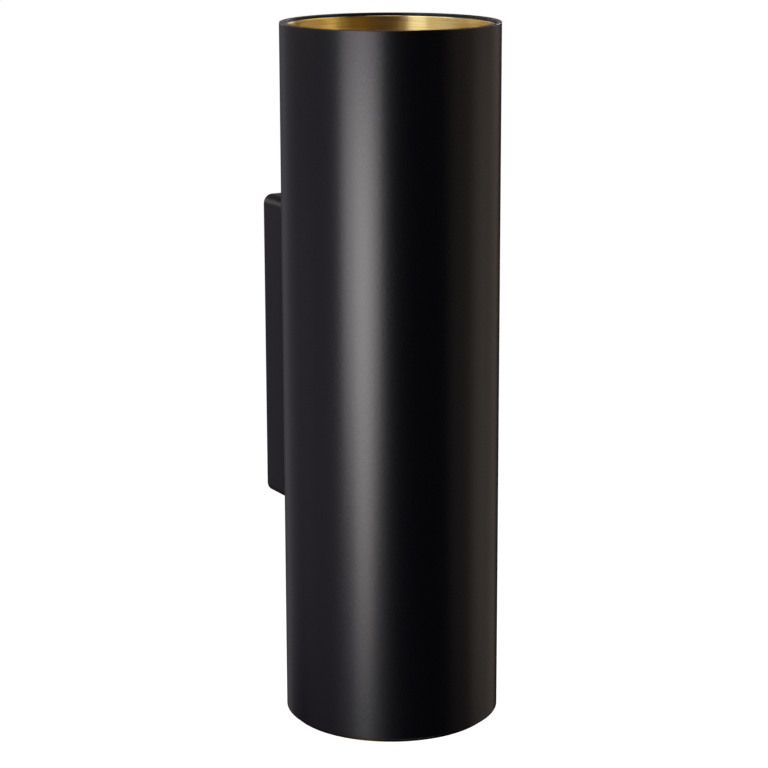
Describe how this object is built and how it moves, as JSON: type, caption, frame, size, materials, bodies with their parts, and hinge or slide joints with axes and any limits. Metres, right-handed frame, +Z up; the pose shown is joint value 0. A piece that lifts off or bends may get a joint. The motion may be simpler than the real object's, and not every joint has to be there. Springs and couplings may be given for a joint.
{
  "type": "tube wall light",
  "caption": "Up and down wall light: black tube open at both ends with a brushed brass liner, on a shallow black wall box, with twist-lock lamps inside.",
  "frame": {"origin": "on the wall plane, at the middle of the wall box's back", "axes": "+Z up along the tube, +Y into the wall, X across; the light stands out from the wall towards -Y"},
  "size_m": [0.1, 0.124, 0.3251],
  "materials": {
    "black_powder_coat": "satin black powder coat, fine grain, soft highlights",
    "brushed_brass": "brass brushed round the tube, clear lacquer",
    "black_steel_screws": "blackened steel, satin",
    "zinc_plated_steel": "bright zinc plate on steel",
    "black_rubber": "moulded, matt",
    "white_polyamide": "moulded, slightly milky",
    "terminal_brass": "turned",
    "tinned_copper": "tin plate on copper strip",
    "earth_insulation": "green and yellow sleeve",
    "lead_insulation": "silicone sleeve, soft sheen",
    "black_nylon": "moulded",
    "cast_aluminium": "die cast, slightly grainy",
    "white_ceramic": "unglazed steatite",
    "lamp_plastic": "moulded, satin",
    "lamp_diffuser": "opal, moulded",
    "nickel_plated_pins": "nickel plate"
  },
  "bodies": {
    "fixture": {"outer_tube": "black_powder_coat", "wall_box": "black_powder_coat", "brass_liner": "brushed_brass", "box_screws": "black_steel_screws", "wall_bracket": "zinc_plated_steel", "box_lock_washer": "zinc_plated_steel", "box_nut": "zinc_plated_steel", "tube_lock_washer": "zinc_plated_steel", "tube_nut": "zinc_plated_steel", "mounting_nipple": "zinc_plated_steel", "fixing_screws": "zinc_plated_steel", "fixing_nuts": "zinc_plated_steel", "lamp_bracket": "zinc_plated_steel", "holder_screws_upper": "zinc_plated_steel", "holder_screws_lower": "zinc_plated_steel", "terminal_block_screws": "zinc_plated_steel", "terminal_screws": "zinc_plated_steel", "earth_screw": "zinc_plated_steel", "earth_washer": "zinc_plated_steel", "cable_grommet": "black_rubber", "terminal_block": "white_polyamide", "terminal_clamps": "terminal_brass", "earth_lug": "tinned_copper", "holder_contacts_upper": "tinned_copper", "holder_contacts_lower": "tinned_copper", "earth_lead": "earth_insulation", "leads_upper": "lead_insulation", "leads_lower": "lead_insulation", "nipple_bushes": "black_nylon", "inner_saddle": "cast_aluminium", "lampholder_upper": "white_ceramic", "lampholder_lower": "white_ceramic"},
    "upper_lamp": {"lamp_body_upper": "lamp_plastic", "lamp_lens_upper": "lamp_diffuser", "lamp_pins_upper": "nickel_plated_pins"},
    "lower_lamp": {"lamp_body_lower": "lamp_plastic", "lamp_lens_lower": "lamp_diffuser", "lamp_pins_lower": "nickel_plated_pins"}
  },
  "joints": [
    {"name": "upper_lamp_twist", "type": "hinge", "parent": "fixture", "child": "upper_lamp", "pos_m": [0, -0.074, 0.0493], "axis": [0, 0, 1], "range_deg": [0, 22]},
    {"name": "lower_lamp_twist", "type": "hinge", "parent": "fixture", "child": "lower_lamp", "pos_m": [0, -0.074, -0.0493], "axis": [0, 0, -1], "range_deg": [0, 22]}
  ]
}
